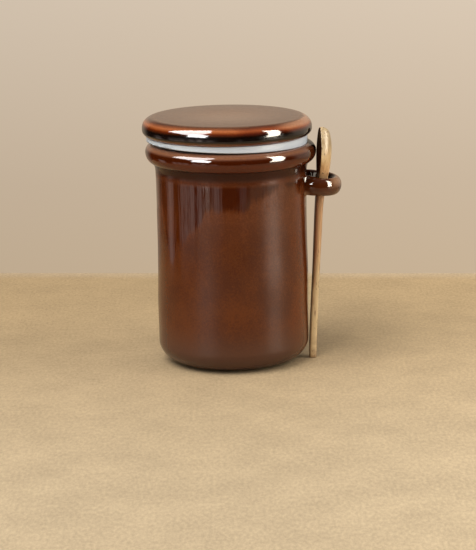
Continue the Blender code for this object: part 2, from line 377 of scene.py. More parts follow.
def ringSections(s):
    # centre line and swell first, in the ring's own level plane: an oval that meets the wall
    toWall = asin((s["widest"] - s["atWall"]) / s["inward"])
    line = []
    for step in range(s["bends"] + 1):
        turn = (pi / 2 + toWall) * (2 * step / s["bends"] - 1)
        along = cos(turn)
        reach = s["reach"] - s["widest"] if along > 0 else s["inward"]
        swell = 1.0 + (s["wallSwell"] - 1.0) * eased(-along, s["swellFrom"], sin(toWall))
        line.append((Vector((s["widest"] + reach * along, s["halfWidth"] * sin(turn), 0)), swell))
    lower = Matrix.Translation((s["root"], 0, s["height"])) @ Matrix.Rotation(s["droop"], 4, "Y")
    lower = lower @ Matrix.Translation((-s["root"], 0, 0))
    rings = []
    for index, (centre, swell) in enumerate(line):
        ahead = line[min(index + 1, len(line) - 1)][0] - line[max(index - 1, 0)][0]
        side = Vector((ahead.y, -ahead.x, 0)).normalized()
        ring = []
        for k in range(s["sides"]):
            turn = 2 * pi * k / s["sides"]
            point = centre + side * (s["tubeWide"] * swell * cos(turn))
            point += Vector((0, 0, s["tubeHigh"] * swell * sin(turn)))
            ring.append(lower @ point)
        rings.append(ring)
    return padRings(rings[0], s)[::-1] + rings + padRings(rings[-1], s)


def padRings(ring, s):
    # from the tube's end the clay flares out on to the round wall and sinks into it
    middle = sum(ring, Vector()) / len(ring)
    found = []
    for step in range(1, s["padSteps"] + 2):
        share = min(step / s["padSteps"], 1.0)
        gap = s["padDepth"] * (1 - share) if step <= s["padSteps"] else -s["padSink"]
        flare = 1 - sqrt(1.0 - share**2)
        blend = min(step / s["padBlend"], 1.0)
        placed = []
        for point in ring:
            away = Vector((0, point.y - middle.y, point.z - middle.z))
            course = away.normalized()
            wide = s["padOuter"] if course.y * middle.y > 0 else s["padInner"]
            flat = point + Vector((0, course.y * wide, course.z * s["padHigh"])) * flare
            radius = s["wall"] + gap
            onWall = s["wallOffset"] + sqrt(max(radius**2 - flat.y**2, 0.0))
            placed.append(Vector((point.x + (onWall - point.x) * blend, flat.y, flat.z)))
        found.append(placed)
    return found


clayRing = loftRings("clayRing", ringSections(ringSet))


# lid
lidSet = {
    "steps": 200,
    "radius": 56.4 * mm,
    "underside": 151.9 * mm,
    "lowWide": 8.0 * mm,
    "lowHigh": 4.9 * mm,
    "rimFlat": 1.4 * mm,
    "topWide": 7.8 * mm,
    "topHigh": 7.05 * mm,
    "crownRadius": 32.0 * mm,
    "crownRise": 0.23 * mm,
    "dishDepth": 0.35 * mm,
    "plugRadius": 43.5 * mm,
    "plugBottom": 148.5 * mm,
    "plugFillet": 1.2 * mm,
    "plugEdge": 0.6 * mm,
    "shift": -1.5 * mm,
    "tilt": -0.0096,
    # how finely each stretch of the profile is divided
    "dishSteps": 15,
    "slopeSteps": 9,
    "topSteps": 24,
    "flatSteps": 4,
    "lowSteps": 20,
    "topTurn": 88,
}


def lidProfile(s):
    lowMiddle = s["underside"] + s["lowHigh"]
    topMiddle = lowMiddle + s["rimFlat"]
    crown = topMiddle + s["topHigh"] + s["crownRise"]
    edge = s["radius"] - s["topWide"]
    points = []
    for step in range(s["dishSteps"]):
        share = step / s["dishSteps"]
        points.append((s["crownRadius"] * share, crown - s["dishDepth"] * (1 - share**2) ** 2))
    for step in range(s["slopeSteps"]):
        share = step / s["slopeSteps"]
        radius = s["crownRadius"] + (edge - s["crownRadius"]) * share
        points.append((radius, crown - s["crownRise"] * share**2))
    points += arc((edge, topMiddle), s["topWide"], s["topHigh"], s["topTurn"], 0, s["topSteps"])
    points += spread(points[-1], (s["radius"], lowMiddle), s["flatSteps"])
    low = (s["radius"] - s["lowWide"], lowMiddle)
    points += arc(low, s["lowWide"], s["lowHigh"], 0, -90, s["lowSteps"])[1:]
    plug = s["plugRadius"]
    points += [(plug + s["plugFillet"], s["underside"]), (plug, s["underside"])]
    points += [(plug, s["plugBottom"] + s["plugEdge"]), (plug - s["plugEdge"], s["plugBottom"])]
    points += [(plug / 2, s["plugBottom"]), (0.0, s["plugBottom"])]
    return points


def leanLid(piece, s):
    for vertex in piece.data.vertices:
        if vertex.co.z > s["plugBottom"] + s["plugEdge"] / 2:
            vertex.co.z += s["tilt"] * vertex.co.x
        vertex.co.x += s["shift"]


lidPiece = turnProfile("glazedLid", lidProfile(lidSet), lidSet["steps"])
leanLid(lidPiece, lidSet)


# soft sealing ring
sealSet = {
    "steps": 160,
    "radius": 53.5 * mm,
    "bore": 44.6 * mm,
    "lowerEdge": 148.75 * mm,
    "lowerInner": 148.1 * mm,
    "clearance": 0.02 * mm,
    # the rounding of its outer edges, and the step down inside the lower one
    "bendIn": 1.2 * mm,
    "upperIn": 0.3 * mm,
    "upperDrop": 0.25 * mm,
    "upperRise": 0.22 * mm,
    "lowerRound": 0.4 * mm,
    "lowerCut": 0.12 * mm,
    "innerStep": 0.5 * mm,
    "shift": -1.7 * mm,
    "tilt": -0.034,
    # the lower face, up to this height over its edge, leans more towards the outside
    "leanBand": 0.8 * mm,
    "leanFrom": 1.0 * mm,
    "leanTo": 0.5 * mm,
}


def underTheLid(radius):
    outside = min(max(radius - (lidSet["radius"] - lidSet["lowWide"]), 0.0) / lidSet["lowWide"], 1.0)
    rise = lidSet["lowHigh"] * (1.0 - sqrt(1.0 - outside**2))
    return lidSet["underside"] + rise - sealSet["clearance"]


def sealProfile(s):
    flat = lidSet["radius"] - lidSet["lowWide"]
    points = [(s["bore"], underTheLid(s["bore"]))]
    points += spread(points[-1], (flat, underTheLid(flat)), 3)
    for step in range(1, 6):
        radius = flat + (s["radius"] - s["bendIn"] - flat) * step / 5
        points.append((radius, underTheLid(radius)))
    out = s["radius"]
    upper = underTheLid(out - s["upperIn"]) - s["upperDrop"]
    points += [(out - s["upperIn"], upper + s["upperRise"]), (out, upper)]
    points += spread(points[-1], (out, s["lowerEdge"] + s["lowerRound"]), 4)
    points.append((out - s["lowerCut"], s["lowerEdge"] + s["lowerCut"]))
    points.append((out - s["lowerRound"], s["lowerEdge"]))
    points += spread(points[-1], (flat, s["lowerInner"] + s["innerStep"]), 3)
    points += spread(points[-1], (s["bore"], s["lowerInner"]), 3)
    return points


def leanSeal(piece, s):
    flat = lidSet["radius"] - lidSet["lowWide"]
    for vertex in piece.data.vertices:
        radius = vertex.co.xy.length
        lower = vertex.co.z < s["lowerEdge"] + s["leanBand"]
        share = eased(radius, flat - s["leanFrom"], s["radius"] - s["leanTo"]) if lower else 0.0
        tilt = lidSet["tilt"] + (s["tilt"] - lidSet["tilt"]) * share
        vertex.co.z += tilt * vertex.co.x
        vertex.co.x += s["shift"]


sealPiece = turnProfile("softSeal", sealProfile(sealSet), sealSet["steps"], closed=True)
leanSeal(sealPiece, sealSet)


# spoon
spoonSet = {
    "length": 156.4 * mm,
    "turn": radians(6.6),
    "rings": 96,
    "sides": 44,
    "rim": 1.7 * mm,
    "footY": -5.2 * mm,
    "topY": -3.8 * mm,
    "stemSquare": 4.0,
    "bowlSquare": 2.2,
    "bowlFrom": 108 * mm,
    "bowlTo": 132 * mm,
    "crowding": 0.45,
    # the rounded ends: height from the end in mm, and share of the full section
    "footEnd": [(0.0, 0.7), (0.0, 0.9), (0.25, 0.97)],
    "tipEnd": [(-0.15, 0.9), (0.0, 0.5)],
    # height, face from the jar's axis, depth, width, edge round, hollow
    "sections": [
        (0.0, 50.3, 4.5, 6.4, 1.8, 0.0),
        (7.0, 50.5, 4.7, 6.8, 1.9, 0.0),
        (20.0, 51.1, 4.8, 7.0, 1.8, 0.0),
        (41.0, 52.4, 4.6, 8.0, 1.5, 0.0),
        (62.0, 53.8, 4.4, 9.0, 1.2, 0.0),
        (85.0, 55.0, 4.8, 9.2, 1.1, 0.0),
        (104.0, 56.1, 5.0, 9.4, 1.1, 0.0),
        (114.0, 56.9, 5.8, 9.2, 1.0, 0.0),
        (122.0, 57.5, 7.1, 9.6, 0.9, 0.1),
        (129.0, 57.9, 8.2, 16.0, 0.8, 2.6),
        (137.0, 58.3, 8.8, 21.2, 0.8, 5.4),
        (144.0, 58.7, 8.8, 20.4, 0.8, 5.8),
        (150.5, 59.0, 7.9, 14.6, 0.8, 4.2),
        (154.6, 59.3, 6.2, 8.4, 0.8, 1.2),
        (156.4, 59.7, 3.4, 4.0, 0.8, 0.0),
    ],
}


def spoonSection(s, height, shrink=1.0):
    face, depth, width, edge, hollow = (v * mm for v in smoothRow(s["sections"], height / mm))
    bowl = eased(height, s["bowlFrom"], s["bowlTo"])
    squareness = s["stemSquare"] + (s["bowlSquare"] - s["stemSquare"]) * bowl
    middleY = s["footY"] + (s["topY"] - s["footY"]) * height / s["length"]
    facing = Vector((-cos(s["turn"]), -sin(s["turn"]), 0.0))
    sideways = Vector((sin(s["turn"]), -cos(s["turn"]), 0.0))
    inside = max(width / 2 - s["rim"], mm)
    ring = []
    for step in range(s["sides"]):
        turn = 2 * pi * step / s["sides"]
        across = abs(cos(turn)) ** (2 / squareness) * (1 if cos(turn) > 0 else -1)
        rise = abs(sin(turn)) ** (2 / squareness)
        inner = max(0.0, 1.0 - (across * width / 2 / inside) ** 2)
        if sin(turn) > 0:
            back = edge + (depth - edge) * rise
        else:
            back = edge - edge * rise + hollow * inner
        back = depth / 2 + (back - depth / 2) * shrink
        spot = Vector((face, middleY, height)) + sideways * (across * width / 2 * shrink)
        ring.append(spot - facing * back)
    return ring


def spoonRings(s):
    rings = [spoonSection(s, height * mm, shrink) for height, shrink in s["footEnd"]]
    for step in range(1, s["rings"]):
        # the rings crowd towards the tip
        share = step / s["rings"]
        crowded = 1.0 - (1.0 - share) ** 2
        height = s["length"] * (share * (1.0 - s["crowding"]) + crowded * s["crowding"])
        rings.append(spoonSection(s, height))
    return rings + [spoonSection(s, s["length"] + above * mm, shrink) for above, shrink in s["tipEnd"]]


spoonPiece = smoothed(loftRings("woodSpoon", spoonRings(spoonSet)), 1)
print("pieces modelled")


# glaze on the jar and its ring
glazeSet = {
    "deep": (0.063, 0.0110, 0.0004),
    "warm": (0.103, 0.0208, 0.0006),
    "upperDeep": (0.086, 0.0195, 0.0036),
    "upperWarm": (0.124, 0.0305, 0.0062),
    "upperFrom": (0.086, 0.104),
    # painted reflection of the paper table: greyer towards the foot
    "low": (0.076, 0.0320, 0.0185),
    "lowFrom": (0.036, 0.002),
    # the second dip: its edge is the sum of heights that change along X (from, to, start, end)
    "thick": (0.041, 0.0062, 0.0014),
    "dipEdge": [
        (0.002, 0.025, 0.110, 0.124),
        (-0.010, -0.036, 0.0, -0.024),
        (-0.0355, -0.0390, 0.0, -0.012),
        (-0.0405, -0.0455, 0.0, 0.0342),
    ],
    "waveHigh": 0.004,
    "dripUp": 0.0022,
    "dripDown": 0.0026,
    "dipTop": (0.1268, 0.1245),
    "dipSide": (-0.045, -0.020),
    # the right side, and a painted highlight on the glaze edge under the ring
    "rightTint": (1.30, 1.20, 1.0),
    "rightFrom": (0.034, 0.044),
    "rightBelow": (0.120, 0.112),
    "lipGlint": (0.420, 0.260, 0.155),
    "lipHigh": (0.1030, 0.1060, 0.1140, 0.1170),
    "lipOut": (0.0482, 0.0494),
    "lipFront": (0.0, -0.004),
    # the collar, from its shadow up
    "underCollar": (0.036, 0.0068, 0.0018),
    "collarLow": (0.089, 0.0155, 0.0030),
    "collarSide": (0.046, 0.0070, 0.0006),
    "collarTop": (0.180, 0.074, 0.040),
    "collarSpan": (0.128, 0.148),
    "collarStops": [
        (0.0, "underCollar"),
        (0.36, "underCollar"),
        (0.44, "collarLow"),
        (0.60, "collarLow"),
        (0.70, "collarSide"),
        (0.80, "collarSide"),
        (0.885, "collarTop"),
        (1.0, "collarTop"),
    ],
    "collarFrom": (0.1275, 0.1310),
    "crest": (0.190, 0.073, 0.030),
    "crestHigh": (0.1448, 0.1458, 0.1460, 0.1468),
    "neckHigh": (0.1260, 0.1275, 0.1345, 0.1362),
    # the ring, the painted reflection of the wall on its end, and the painted shade inside it
    "ring": (0.058, 0.0125, 0.0028),
    "ringFrom": (0.0500, 0.0530),
    "paleEnd": (0.300, 0.150, 0.070),
    "paleOut": (0.0640, 0.0695),
    "paleHigh": (0.1150, 0.1215),
    "ringInsideShade": (0.006, 0.0020, 0.0010),
    "holeMiddle": 0.0590,
    "holeOval": 0.86,
    "holeEdge": (0.0120, 0.0100),
    "holeFrom": (0.0480, 0.0500),
    # the bare foot
    "clay": (0.52, 0.40, 0.27),
    "clayInside": (0.0365, 0.0345),
    "clayBelow": (0.0009, 0.0004),
    # the shine
    "rough": 0.06,
    "satin": 0.21,
    "glossBelowCollar": (0.1268, 0.1252),
    "glossCollar": (0.1300, 0.1325),
    "glossRing": (0.0480, 0.0510),
    "runsBelow": (0.1290, 0.1265),
    "runsBump": 0.22,
}


def glazeMaterial(s):
    n = Nodes("brownGlaze")
    x, y, z = n.axes()
    speckle = n.noise(n.place, 900, 3.0, 0.65)
    cloud = n.noise(n.place, 38, 3.0, 0.55)
    level = n.reckon("ADD", z, n.product(x, -jarSet["collarTilt"]))  # the collar's own level
    tone = n.reckon("ADD", n.product(speckle, 0.75), n.product(cloud, 0.55))
    mottle = n.fade(tone, 0.50, 0.80, smooth=False)
    body = n.steps(mottle, [(0.0, s["deep"]), (1.0, s["warm"])])
    upper = n.steps(mottle, [(0.0, s["upperDeep"]), (1.0, s["upperWarm"])])
    body = n.blend(n.product(n.fade(level, *s["upperFrom"]), 0.9), body, upper)
    # painted reflection of the paper table: greyer towards the foot
    body = n.blend(n.fade(z, *s["lowFrom"]), body, s["low"])
    # thicker and darker above a ragged edge that hangs lower on the left
    flat = n.scaled((1, 1, 0.05))
    wave = n.noise(flat, 55, 2.0, 0.6)
    drips = n.noise(flat, 190, 3.0, 0.65)
    edge = n.fade(wave, 0.3, 0.7, s["waveHigh"], -s["waveHigh"], False)
    edge = n.reckon("ADD", edge, n.fade(drips, 0.35, 0.65, s["dripUp"], -s["dripDown"], False))
    for low, high, start, end in s["dipEdge"]:
        edge = n.reckon("ADD", edge, n.fade(x, low, high, start, end))
    height = n.reckon("SUBTRACT", level, edge)
    dipped = n.product(
        n.fade(height, -0.003, 0.003),
        n.fade(level, *s["dipTop"], 0.25, 1.0),
        n.fade(x, *s["dipSide"], 0.35, 0.92),
        n.fade(drips, 0.38, 0.62, 0.86, 1.0),
    )
    body = n.blend(dipped, body, s["thick"])
    # redder and lighter on the right, and a painted highlight on the glaze edge under the ring
    right = n.product(n.fade(x, *s["rightFrom"]), n.fade(level, *s["rightBelow"]))
    body = n.tinted(right, body, s["rightTint"])
    lipGlint = n.product(n.between(z, s["lipHigh"]), n.fade(x, *s["lipOut"]), n.fade(y, *s["lipFront"]), 0.7)
    body = n.blend(lipGlint, body, s["lipGlint"])
    # the collar: dark in its shadow, thin and pale along its crest
    stops = [(place, s[colour]) for place, colour in s["collarStops"]]
    collar = n.steps(n.fade(level, *s["collarSpan"], smooth=False), stops, "LINEAR")
    broken = n.noise(n.scaled((1, 1, 0.6)), 420, 3.0, 0.7)
    crest = n.product(n.between(level, s["crestHigh"]), n.fade(broken, 0.40, 0.62, 0.15, 0.95))
    collar = n.blend(crest, collar, s["crest"])
    grain = n.fade(tone, 0.45, 0.85, 0.80, 1.22, False)
    collar = n.blend(1.0, collar, n.grey(grain), "MULTIPLY")
    body = n.blend(n.fade(level, *s["collarFrom"]), body, collar)
    # the ring: thick dark glaze, a painted reflection of the wall where it bends, painted shade on the
    # inside
    body = n.blend(n.product(n.fade(x, *s["ringFrom"]), 0.85), body, s["ring"])
    paleEnd = n.product(n.fade(x, *s["paleOut"]), n.fade(z, *s["paleHigh"]), 0.8)
    body = n.blend(paleEnd, body, s["paleEnd"])
    fromHole = n.length(n.scaled((1, s["holeOval"], 0), location=(-s["holeMiddle"], 0, 0)))
    ringInsideShade = n.product(n.fade(fromHole, *s["holeEdge"]), n.fade(x, *s["holeFrom"]))
    body = n.blend(n.product(ringInsideShade, 0.92), body, s["ringInsideShade"])
    # bare clay where the foot stands
    fromAxis = n.length(n.scaled((1, 1, 0)))
    bare = n.product(n.fade(z, *s["clayBelow"]), n.fade(fromAxis, *s["clayInside"]))
    body = n.blend(bare, body, s["clay"])
    # the dip, the collar and the ring are glossy, the rest has a softer shine
    glossy = n.product(n.fade(height, -0.003, 0.001), n.fade(level, *s["glossBelowCollar"]))
    glossy = n.reckon("MAXIMUM", glossy, n.fade(level, *s["glossCollar"]))
    glossy = n.reckon("MAXIMUM", glossy, n.fade(x, *s["glossRing"]))
    rough = n.fade(n.noise(n.place, 260, 2.0), 0.3, 0.7, -0.02, 0.03, False)
    rough = n.reckon("ADD", rough, n.fade(glossy, 0.0, 1.0, s["satin"], s["rough"], False))
    rough = n.reckon("ADD", rough, n.product(bare, 0.5))
    dull = n.reckon("MAXIMUM", ringInsideShade, n.product(n.between(level, s["neckHigh"]), 0.42))
    n.put(n.shader.inputs["Specular IOR Level"], n.fade(dull, 0.0, 1.0, 0.5, 0.05, False))
    # runs in the glaze below the collar, and a very fine orange peel all over
    runs = n.noise(n.scaled((380, 380, 14)), 1.0, 3.0, 0.6)
    runs = n.product(runs, n.fade(height, -0.03, 0.004), n.fade(level, *s["runsBelow"]))
    normal = n.bump(runs, s["runsBump"], 0.0006)
    normal = n.bump(n.noise(n.place, 120, 2.0), 0.10, 0.0006, normal)
    normal = n.bump(n.noise(n.place, 1500, 1.0), 0.05, 0.0001, normal)
    return n.finish(body, rough, normal, IOR=1.42)


brownGlaze = glazeMaterial(glazeSet)
dress(jarBody, brownGlaze, "brown_glaze", "jar")
dress(clayRing, brownGlaze, "brown_glaze", "jar")


# glaze on the lid
lidGlazeSet = {
    "lower": (0.195, 0.076, 0.026),
    "black": (0.0060, 0.0020, 0.0010),
    "seam": (0.045, 0.009, 0.0020),
    "brown": (0.100, 0.013, 0.0008),
    "amber": (0.215, 0.048, 0.008),
    "pale": (0.345, 0.100, 0.031),
    "shoulder": (0.155, 0.045, 0.015),
    "edge": (0.038, 0.011, 0.004),
    "sideSpan": (0.1515, 0.1655),
    "sideStops": [
        (0.0, "lower"),
        (0.20, "lower"),
        (0.31, "black"),
        (0.565, "black"),
        (0.635, "seam"),
        (0.70, "brown"),
        (0.755, "amber"),
        (0.825, "pale"),
        (0.914, "shoulder"),
        (0.99, "edge"),
    ],
    # how far the bands run down at the two ends
    "rightRun": (0.028, 0.052, 0.0, 0.0010),
    "leftRun": (-0.030, -0.050, 0.0, 0.0004),
    "redTint": (0.62, 0.40, 0.28),
    "redPart": (0.000, 0.012, 0.030, 0.040),
    "redFront": (0.0, -0.02),
    "paleEnd": (0.420, 0.200, 0.105),
    "palePart": (0.026, 0.048),
    "paleHigh": (0.1612, 0.1632),
    # the turned top
    "top": (0.185, 0.086, 0.040),
    "topDark": (0.082, 0.028, 0.010),
    "topFrom": (0.16450, 0.16520),
    "topSpan": (0.005, 0.050),
    "rough": 0.07,
    "roughBelow": (0.1600, 0.1588),
}


def lidMaterial(s):
    n = Nodes("lidGlaze")
    x, y, z = n.axes()
    level = n.reckon("ADD", z, n.product(x, -lidSet["tilt"]))
    wobble = n.noise(n.scaled((1, 1, 0.3)), 60, 2.0)
    level = n.reckon("ADD", level, n.fade(wobble, 0.3, 0.7, -0.0002, 0.0002, False))
    band = n.reckon("ADD", level, n.fade(x, *s["rightRun"]))
    band = n.reckon("ADD", band, n.fade(x, *s["leftRun"]))
    stops = [(place, s[colour]) for place, colour in s["sideStops"]]
    side = n.steps(n.fade(band, *s["sideSpan"], smooth=False), stops, "LINEAR")
    # redder on the right of the front, paler towards the clay ring
    redder = n.product(n.between(x, s["redPart"]), n.fade(y, *s["redFront"]), 0.85)
    side = n.tinted(redder, side, s["redTint"])
    paler = n.product(n.fade(x, *s["palePart"], 0.0, 0.85), n.fade(level, *s["paleHigh"]))
    side = n.blend(paler, side, s["paleEnd"])
    # the top keeps the rings that it was turned with
    radius = n.length(n.scaled((1, 1, 0), location=(-lidSet["shift"], 0, 0)))
    turning = n.noise(n.add("ShaderNodeCombineXYZ", {0: n.product(radius, 900)}).outputs[0], 1.0, 2.0)
    middle = n.fade(n.reckon("ADD", radius, n.product(wobble, 0.010)), *s["topSpan"])
    top = n.blend(middle, s["top"], s["topDark"])
    top = n.blend(n.fade(turning, 0.38, 0.62, 0.0, 0.6), top, s["top"])
    onTop = n.fade(level, *s["topFrom"])
    colour = n.blend(onTop, side, top)
    grain = n.fade(n.noise(n.place, 900, 3.0, 0.65), 0.35, 0.7, 0.82, 1.14, False)
    colour = n.blend(1.0, colour, n.grey(grain), "MULTIPLY")
    rough = n.fade(n.noise(n.place, 260, 2.0), 0.3, 0.7, s["rough"] - 0.02, s["rough"] + 0.03, False)
    rough = n.reckon("ADD", rough, n.product(onTop, 0.10))
    rough = n.reckon("ADD", rough, n.product(n.fade(band, *s["roughBelow"]), 0.08))
    normal = n.bump(n.noise(n.place, 120, 2.0), 0.10, 0.0006)
    normal = n.bump(n.product(turning, onTop), 0.22, 0.0002, normal)
    return n.finish(colour, rough, normal, IOR=1.46)


dress(lidPiece, lidMaterial(lidGlazeSet), "lid_glaze", "lid")


# finish of the soft ring
sealFinishSet = {
    "dull": (0.575, 0.640, 0.715),
    "clean": (0.620, 0.680, 0.745),
    "rough": (0.38, 0.52),
}


def sealMaterial(s):
    n = Nodes("softWhite")
    dust = n.noise(n.place, 420, 3.0, 0.6)
    cloud = n.noise(n.place, 45, 2.0)
    colour = n.blend(n.fade(cloud, 0.3, 0.7), s["dull"], s["clean"])
    rough = n.fade(dust, 0.3, 0.7, *s["rough"], False)
    normal = n.bump(dust, 0.10, 0.0002)
    return n.finish(colour, rough, normal, IOR=1.43)


dress(sealPiece, sealMaterial(sealFinishSet), "soft_white", "seal")


# wood of the spoon
woodSet = {
    "pale": (0.60, 0.435, 0.225),
    "mid": (0.43, 0.262, 0.105),
    "dark": (0.20, 0.095, 0.034),
    "fleck": (0.12, 0.055, 0.022),
    "grainLean": radians(-3),
    # the hollow side of the bowl gets painted shade
    "hollowShade": (0.033, 0.002, 0.0002),
    "hollowFacing": (-0.993, -0.115, 0),
    "hollowFrom": (0.118, 0.128),
    "tipFrom": (0.140, 0.153),
    "footBelow": (0.02, 0.002),
    # the stem's side towards the jar shows wear and painted shade from the jar and the ring: its middle
    # line stands off and leans with height
    "wearAndShade": (0.200, 0.080, 0.026),
    "wearShadeFrom": (0.020, 0.075),
    "wearShadeTo": (0.132, 0.116),
    "wearShadeSide": (0.0010, -0.0012),
    "stemOff": 0.0526,
    "stemLean": 0.0577,
    # painted light and shade in lighter and darker stretches, and the warmer one round the clay ring
    "bowlShade": (0.136, 0.148, 1.25, 0.70),
    "stemShade": (0.114, 0.130, 0.85, 1.0),
    "warmPart": (0.055, 0.080, 0.126, 0.138),
    "warmGreen": 0.82,
    "warmBlue": 0.73,
}


def woodMaterial(s):
    n = Nodes("paleWood")
    x, _, z = n.axes()
    along = n.scaled((1, 1, 0.035), rotation=(0, s["grainLean"], 0))
    bands = n.noise(along, 330, 3.0, 0.6, 0.3)
    fine = n.noise(n.scaled((1, 1, 0.02)), 2200, 2.0, 0.6)
    stops = [(0.0, s["mid"]), (0.55, s["pale"]), (1.0, s["pale"])]
    colour = n.steps(n.fade(bands, 0.32, 0.68, smooth=False), stops)
    colour = n.blend(n.fade(fine, 0.5, 0.72, 0.0, 0.55), colour, s["mid"])
    flecks = n.noise(n.scaled((1, 1, 0.16)), 900, 2.0, 0.5)
    colour = n.blend(n.fade(flecks, 0.63, 0.71, 0.0, 0.85), colour, s["fleck"])
    # the hollow gets painted shade, and the tip is spotted
    facing = n.add("ShaderNodeVectorMath", {1: s["hollowFacing"]}, operation="DOT_PRODUCT")
    n.put(facing.inputs[0], n.add("ShaderNodeTexCoord").outputs["Normal"])
    hollow = n.product(n.fade(facing.outputs["Value"], 0.35, 0.75), n.fade(z, *s["hollowFrom"]))
    colour = n.blend(n.product(hollow, 0.97), colour, s["hollowShade"])
    spots = n.fade(n.noise(n.place, 620, 3.0, 0.7), 0.54, 0.66)
    colour = n.blend(n.product(spots, n.fade(z, *s["tipFrom"]), 0.45), colour, s["dark"])
    # the side towards the jar is brown from wear and painted shade, most of all the painted shadow of
    # the ring where it goes through it
    across = n.reckon("SUBTRACT", x, n.reckon("ADD", n.product(z, s["stemLean"]), s["stemOff"]))
    edge = n.fade(n.noise(n.scaled((1, 1, 0.5)), 120, 3.0, 0.6), 0.3, 0.7, -0.010, 0.010, False)
    height = n.reckon("ADD", z, edge)
    wearAndShade = n.product(
        n.fade(height, *s["wearShadeFrom"], 0.20, 1.0),
        n.fade(height, *s["wearShadeTo"]),
        n.fade(across, *s["wearShadeSide"], 0.15, 1.0),
        0.92,
    )
    colour = n.blend(wearAndShade, colour, s["wearAndShade"])
    foot = n.product(n.fade(z, *s["footBelow"]), n.fade(n.noise(n.place, 160, 2.0), 0.4, 0.62), 0.7)
    colour = n.blend(foot, colour, s["dark"])
    # painted light and shade: lightest at the bowl's neck, darkest at its tip, a little darker again on
    # the stem below the clay ring
    shade = n.product(n.fade(z, *s["bowlShade"]), n.fade(z, *s["stemShade"]))
    warmed = n.between(z, s["warmPart"])
    green = n.product(shade, n.fade(warmed, 0.0, 1.0, 1.0, s["warmGreen"], False))
    blue = n.product(shade, n.fade(warmed, 0.0, 1.0, 1.0, s["warmBlue"], False))
    cast = n.add("ShaderNodeCombineColor", {0: shade, 1: green, 2: blue}).outputs[0]
    colour = n.blend(1.0, colour, cast, "MULTIPLY")
    n.put(n.shader.inputs["Specular IOR Level"], n.fade(hollow, 0.0, 1.0, 0.5, 0.05, False))
    rough = n.fade(fine, 0.3, 0.7, 0.38, 0.48, False)
    normal = n.bump(fine, 0.25, 0.0001)
    normal = n.bump(bands, 0.10, 0.0003, normal)
    return n.finish(colour, rough, normal, IOR=1.38)


dress(spoonPiece, woodMaterial(woodSet), "pale_wood", "spoon")
print("pieces dressed")


# table with a sheet of packing paper
tableSet = {
    "corners": [(-0.375, -0.50), (1.0, -0.56), (-0.375, 0.302), (1.0, 0.144)],
    # painted light: the paper is lighter at the front than at the back, and lighter towards the right
    "near": (0.418, 0.318, 0.196),
    "far": (0.343, 0.237, 0.121),
    "depthSpan": (-0.40, 0.26),
    "haze": (0.46, 0.36, 0.25),
    "hazeSpan": (0.235, 0.259, 0.0, 0.35),
    "hazeSlope": 0.115,
    "fibreTone": (0.80, 1.14),
    "rightTone": (-0.02, 0.16, 1.0, 1.12),
    "sheen": 0.10,
    "sheenRough": 0.42,
    "sheenIor": 1.45,
}


def makeTable(s):
    bpy.ops.object.select_all(action="DESELECT")
    bpy.ops.mesh.primitive_plane_add(size=1)
    table = bpy.context.object
    table.name = table.data.name = "paperTable"
    for vertex, (x, y) in zip(table.data.vertices, s["corners"]):
        vertex.co = (x, y, 0)
    cleanPiece(table)
    n = Nodes("packingPaper")
    fibre = n.noise(n.scaled((1, 0.45, 1)), 520, 4.0, 0.7)
    cloud = n.noise(n.place, 26, 3.0, 0.6)
    x, y, _ = n.axes()
    # painted light: lighter at the front than at the back
    colour = n.blend(n.fade(y, *s["depthSpan"]), s["near"], s["far"])
    tone = n.reckon("ADD", n.product(fibre, 0.7), n.product(cloud, 0.3))
    tone = n.fade(tone, 0.36, 0.64, *s["fibreTone"], False)
    # painted light: lighter towards the right
    tone = n.product(tone, n.fade(x, *s["rightTone"]))
    # the far edge is hazy against the wall
    farther = n.reckon("ADD", y, n.product(x, s["hazeSlope"]))
    colour = n.blend(n.fade(farther, *s["hazeSpan"]), colour, s["haze"])
    colour = n.blend(1.0, colour, n.grey(tone), "MULTIPLY")
    normal = n.bump(fibre, 0.25, 0.0006)
    plain = n.add("ShaderNodeBsdfDiffuse", {"Color": colour, "Normal": normal})
    shine = n.add("ShaderNodeBsdfAnisotropic", {"Color": (1, 1, 1), "Roughness": s["sheenRough"]})
    n.put(shine.inputs["Normal"], normal)
    rim = n.add("ShaderNodeFresnel", {"IOR": s["sheenIor"]}).outputs[0]
    both = n.add("ShaderNodeMixShader", {0: n.product(rim, s["sheen"])})
    n.put(both.inputs[1], plain.outputs[0])
    n.put(both.inputs[2], shine.outputs[0])
    n.tree.links.new(both.outputs[0], n.tree.nodes["Material Output"].inputs["Surface"])
    n.tree.nodes.remove(n.shader)
    table.data.materials.append(n.material)


# lamps: the gloss alone sees the shining ones, and the soft ones light the rest
lightSet = {
    "leftShine": {
        "place": (-0.673, -0.434, 1.778),
        "across": (-0.228, -0.957, 0.178),
        "up": (0.102, 0.158, 0.982),
        "size": (1.359, 2.259),
        "power": 215.0,
        "gloss": True,
    },
    "rightShine": {
        "place": (1.66, -0.494, 1.058),
        "across": (0.944, 0.328, -0.038),
        "up": (-0.086, 0.356, 0.931),
        "size": (0.886, 2.236),
        "power": 255.0,
        "gloss": True,
        "colour": (1.0, 0.91, 0.76),
    },
    "leftLow": {
        "place": (-0.959, -1.103, 0.791),
        "across": (0.755, -0.656, 0.0),
        "up": (0.267, 0.307, 0.914),
        "size": (0.70, 0.67),
        "power": 54.0,
        "gloss": True,
    },
    "leftSoft": {
        "place": (-0.78, -0.78, 2.00),
        "across": (0.707, -0.707, 0.0),
        "up": (0.55, 0.55, 0.60),
        "size": (1.6, 1.6),
        "power": 50.0,
        "gloss": False,
    },
    "rightSoft": {
        "place": (1.59, -0.42, 0.90),
        "across": (0.84, 0.542, -0.03),
        "up": (-0.172, 0.318, 0.932),
        "size": (0.70, 1.84),
        "power": 16.0,
        "gloss": False,
    },
}


